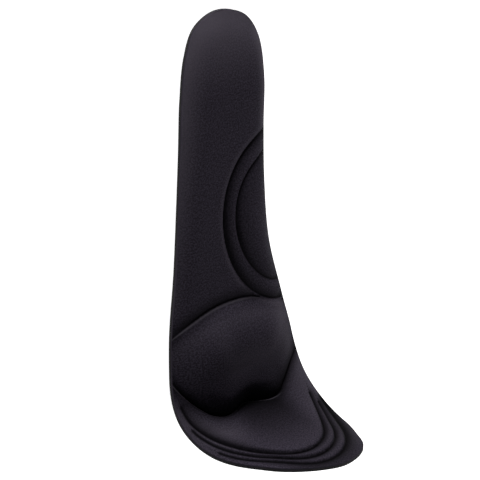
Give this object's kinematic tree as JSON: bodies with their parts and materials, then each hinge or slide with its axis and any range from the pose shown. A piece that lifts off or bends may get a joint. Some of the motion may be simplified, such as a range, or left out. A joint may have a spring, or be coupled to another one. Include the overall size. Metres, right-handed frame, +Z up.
{
  "type": "memory foam insole",
  "caption": "Moulded memory foam insole for a right foot, with a knitted cover, raised arch rings, a domed ball pad and trim lines, curled up at the toes.",
  "frame": {"origin": "on the floor, under the middle of the insole's box", "axes": "+Z up from the sole, +Y from heel to toes, +X to the outer (little toe) side"},
  "size_m": [0.094, 0.2314, 0.0709],
  "materials": {
    "cover": "matte black fine knit",
    "foam": "matte black moulded foam"
  },
  "bodies": {
    "root": {"foam_body": "foam", "top_cover": "cover"}
  },
  "joints": []
}
